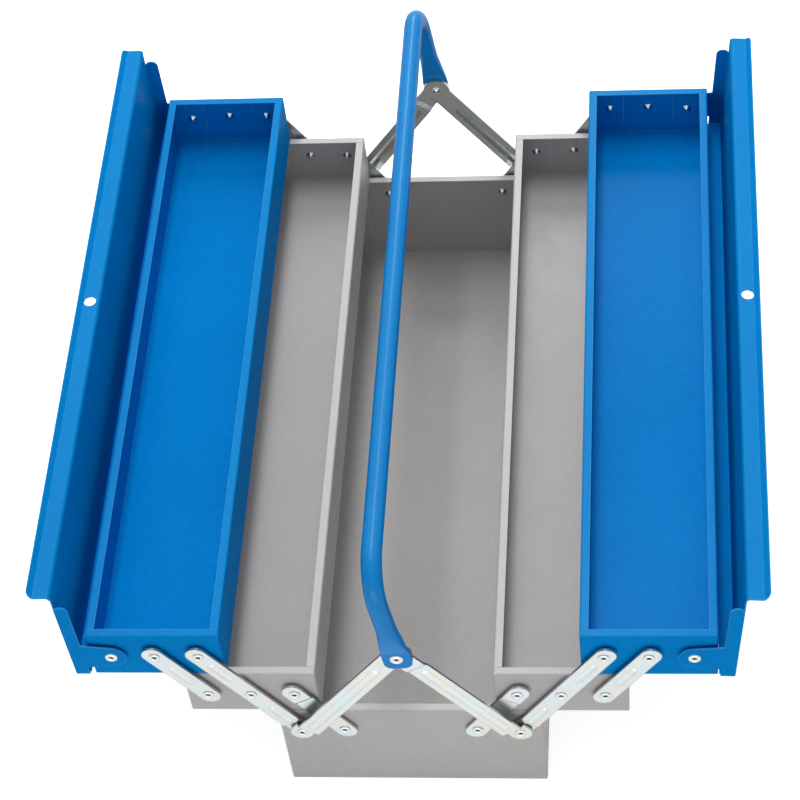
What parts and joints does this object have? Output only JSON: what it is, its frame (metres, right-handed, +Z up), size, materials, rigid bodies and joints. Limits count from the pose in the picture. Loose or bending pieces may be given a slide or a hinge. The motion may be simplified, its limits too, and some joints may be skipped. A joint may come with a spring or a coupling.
{
  "type": "cantilever tool box",
  "caption": "Sheet steel cantilever tool box standing open: trays on lever linkages spread to both sides, hinged lids with padlock lips and a swinging tube handle.",
  "frame": {"origin": "middle of the bottom tray's underside, on the surface it stands on", "axes": "+Z up, +Y along the trays to the rear end, +X to the right seen from the front end"},
  "size_m": [0.5275, 0.5936, 0.2999],
  "materials": {
    "grey_paint": "semi-gloss",
    "blue_paint": "semi-gloss",
    "zinc": "zinc plated"
  },
  "bodies": {
    "base": {"bottom_tray": "grey_paint", "stay_front_left": "zinc", "stay_front_right": "zinc", "stay_rear_left": "zinc", "stay_rear_right": "zinc", "rivets_base": "zinc", "rivets_handle": "zinc", "spacers_base": "zinc"},
    "handle": {"handle": "blue_paint"},
    "left_levers": {"long_lever_front_left": "zinc", "long_lever_rear_left": "zinc"},
    "left_lower_links": {"lower_link_front_left": "zinc", "lower_link_rear_left": "zinc"},
    "left_upper_links": {"upper_link_front_left": "zinc", "upper_link_rear_left": "zinc"},
    "left_middle_tray": {"middle_tray_left": "grey_paint", "rivets_middle_left": "zinc", "spacers_middle_left": "zinc"},
    "left_top_tray": {"top_tray_left": "blue_paint", "rivets_top_left": "zinc", "spacers_top_left": "zinc"},
    "left_lid": {"lid_left": "blue_paint"},
    "right_levers": {"long_lever_front_right": "zinc", "long_lever_rear_right": "zinc"},
    "right_lower_links": {"lower_link_front_right": "zinc", "lower_link_rear_right": "zinc"},
    "right_upper_links": {"upper_link_front_right": "zinc", "upper_link_rear_right": "zinc"},
    "right_middle_tray": {"middle_tray_right": "grey_paint", "rivets_middle_right": "zinc", "spacers_middle_right": "zinc"},
    "right_top_tray": {"top_tray_right": "blue_paint", "rivets_top_right": "zinc", "spacers_top_right": "zinc"},
    "right_lid": {"lid_right": "blue_paint"}
  },
  "joints": [
    {"name": "handle_swing", "type": "hinge", "parent": "base", "child": "handle", "pos_m": [0, 0, 0.197], "axis": [0, 1, 0], "range_deg": [-68.7, 81.3]},
    {"name": "left_fold", "type": "hinge", "parent": "base", "child": "left_levers", "pos_m": [-0.083, 0, 0.08], "axis": [0, 1, 0], "range_deg": [0, 65]},
    {"name": "left_middle_level", "type": "hinge", "parent": "left_levers", "child": "left_middle_tray", "pos_m": [-0.1155, 0, 0.131], "axis": [0, 1, 0], "range_deg": [-65, 0]},
    {"name": "left_top_level", "type": "hinge", "parent": "left_levers", "child": "left_top_tray", "pos_m": [-0.148, 0, 0.182], "axis": [0, 1, 0], "range_deg": [-65, 0]},
    {"name": "left_lower_link", "type": "hinge", "parent": "base", "child": "left_lower_links", "pos_m": [-0.0505, 0, 0.08], "axis": [0, 1, 0], "range_deg": [0, 65]},
    {"name": "left_upper_link", "type": "hinge", "parent": "left_middle_tray", "child": "left_upper_links", "pos_m": [-0.148, 0, 0.131], "axis": [0, 1, 0], "range_deg": [0, 65]},
    {"name": "left_lid_hinge", "type": "hinge", "parent": "left_top_tray", "child": "left_lid", "pos_m": [-0.213, 0, 0.1804], "axis": [0, 1, 0], "range_deg": [0, 91]},
    {"name": "right_fold", "type": "hinge", "parent": "base", "child": "right_levers", "pos_m": [0.083, 0, 0.08], "axis": [0, -1, 0], "range_deg": [0, 65]},
    {"name": "right_middle_level", "type": "hinge", "parent": "right_levers", "child": "right_middle_tray", "pos_m": [0.1155, 0, 0.131], "axis": [0, -1, 0], "range_deg": [-65, 0]},
    {"name": "right_top_level", "type": "hinge", "parent": "right_levers", "child": "right_top_tray", "pos_m": [0.148, 0, 0.182], "axis": [0, -1, 0], "range_deg": [-65, 0]},
    {"name": "right_lower_link", "type": "hinge", "parent": "base", "child": "right_lower_links", "pos_m": [0.0505, 0, 0.08], "axis": [0, -1, 0], "range_deg": [0, 65]},
    {"name": "right_upper_link", "type": "hinge", "parent": "right_middle_tray", "child": "right_upper_links", "pos_m": [0.148, 0, 0.131], "axis": [0, -1, 0], "range_deg": [0, 65]},
    {"name": "right_lid_hinge", "type": "hinge", "parent": "right_top_tray", "child": "right_lid", "pos_m": [0.213, 0, 0.1804], "axis": [0, -1, 0], "range_deg": [0, 94]}
  ],
  "couplings": [
    {"joint": "left_middle_level", "follows": "left_fold", "ratio": -1},
    {"joint": "left_top_level", "follows": "left_fold", "ratio": -1},
    {"joint": "left_lower_link", "follows": "left_fold", "ratio": 1},
    {"joint": "left_upper_link", "follows": "left_fold", "ratio": 1},
    {"joint": "right_middle_level", "follows": "right_fold", "ratio": -1},
    {"joint": "right_top_level", "follows": "right_fold", "ratio": -1},
    {"joint": "right_lower_link", "follows": "right_fold", "ratio": 1},
    {"joint": "right_upper_link", "follows": "right_fold", "ratio": 1}
  ]
}
